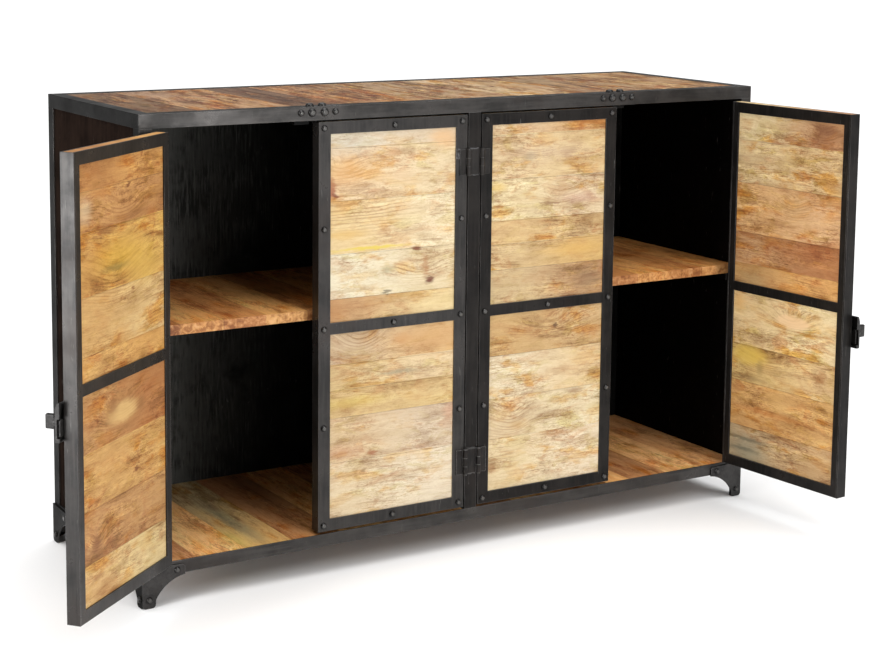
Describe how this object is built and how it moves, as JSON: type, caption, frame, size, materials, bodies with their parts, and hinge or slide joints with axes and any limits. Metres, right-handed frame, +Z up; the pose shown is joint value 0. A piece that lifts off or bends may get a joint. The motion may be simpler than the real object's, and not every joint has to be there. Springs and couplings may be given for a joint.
{
  "type": "sideboard",
  "caption": "Sideboard buffet with an angle-iron frame, plank top, riveted plank doors on butt hinges, knob latches, inner shelves and short cast bracket feet.",
  "frame": {"origin": "floor level, under the middle of the whole object as it stands with its two outer doors open", "axes": "+X to the right along the front, +Y towards the back, +Z up; the fronts of the doors face -Y when closed"},
  "size_m": [1.6774, 0.8023, 0.9055],
  "materials": {
    "frame_iron": "satin gunmetal lacquer on angle and flat iron",
    "sheet_iron": "near-black satin sheet",
    "cast_iron": "satin dark casting",
    "hinge_iron": "satin, painted with the frame",
    "rivet_iron": "satin domed heads, slightly polished",
    "magnet": "matt",
    "door_wood": "clear satin lacquer on pale mango planks",
    "top_wood": "clear satin lacquer on brown mango planks",
    "floor_wood": "clear satin lacquer on dark mango boards",
    "shelf_wood": "clear satin lacquer on mid-brown mango"
  },
  "bodies": {
    "cabinet": {"back_left_foot": "cast_iron", "back_left_post": "frame_iron", "back_panel": "sheet_iron", "back_right_foot": "cast_iron", "back_right_post": "frame_iron", "bottom_frame": "frame_iron", "catch_magnets": "magnet", "catch_rivets": "rivet_iron", "centre_mullion": "frame_iron", "centre_partition": "sheet_iron", "door_catches": "frame_iron", "floor_boards": "floor_wood", "foot_rivets": "rivet_iron", "front_left_foot": "cast_iron", "front_left_post": "frame_iron", "front_right_foot": "cast_iron", "front_right_post": "frame_iron", "hinge_pins": "hinge_iron", "left_post_hinges": "hinge_iron", "left_shelf": "shelf_wood", "left_side_panel": "sheet_iron", "mullion_hinges": "hinge_iron", "right_post_hinges": "hinge_iron", "right_shelf": "shelf_wood", "right_side_panel": "sheet_iron", "shelf_cleats": "frame_iron", "top_bearers": "frame_iron", "top_frame": "frame_iron", "top_planks": "top_wood"},
    "left_door": {"left_door_back_iron": "frame_iron", "left_door_front_iron": "frame_iron", "left_door_hinge_leaves": "hinge_iron", "left_door_latch_case": "cast_iron", "left_door_planks": "door_wood", "left_door_rivets": "rivet_iron"},
    "centre_left_door": {"centre_left_door_back_iron": "frame_iron", "centre_left_door_front_iron": "frame_iron", "centre_left_door_hinge_leaves": "hinge_iron", "centre_left_door_planks": "door_wood", "centre_left_door_rivets": "rivet_iron"},
    "centre_right_door": {"centre_right_door_back_iron": "frame_iron", "centre_right_door_front_iron": "frame_iron", "centre_right_door_hinge_leaves": "hinge_iron", "centre_right_door_planks": "door_wood", "centre_right_door_rivets": "rivet_iron"},
    "right_door": {"right_door_back_iron": "frame_iron", "right_door_front_iron": "frame_iron", "right_door_hinge_leaves": "hinge_iron", "right_door_latch_case": "cast_iron", "right_door_planks": "door_wood", "right_door_rivets": "rivet_iron"},
    "left_latch": {"left_door_latch_knob": "cast_iron", "left_door_latch_spindle": "cast_iron"},
    "right_latch": {"right_door_latch_knob": "cast_iron", "right_door_latch_spindle": "cast_iron"}
  },
  "joints": [
    {"name": "left_door_hinge", "type": "hinge", "parent": "cabinet", "child": "left_door", "pos_m": [-0.562, -0.0606, 0.4775], "axis": [0, 0, -1], "range_deg": [-141, 29]},
    {"name": "centre_left_door_hinge", "type": "hinge", "parent": "cabinet", "child": "centre_left_door", "pos_m": [0.096, -0.0606, 0.4775], "axis": [0, 0, 1], "range_deg": [0, 90]},
    {"name": "centre_right_door_hinge", "type": "hinge", "parent": "cabinet", "child": "centre_right_door", "pos_m": [0.127, -0.0606, 0.4775], "axis": [0, 0, -1], "range_deg": [0, 90]},
    {"name": "right_door_hinge", "type": "hinge", "parent": "cabinet", "child": "right_door", "pos_m": [0.785, -0.0606, 0.4775], "axis": [0, 0, 1], "range_deg": [-95, 75]},
    {"name": "left_latch_turn", "type": "hinge", "parent": "left_door", "child": "left_latch", "pos_m": [-0.81738, -0.27358, 0.429], "axis": [-0.6293, 0.7771, 0], "range_deg": [0, 90]},
    {"name": "right_latch_turn", "type": "hinge", "parent": "right_door", "child": "right_latch", "pos_m": [0.8092, -0.39225, 0.429], "axis": [-0.9962, -0.0872, 0], "range_deg": [0, 90]}
  ]
}
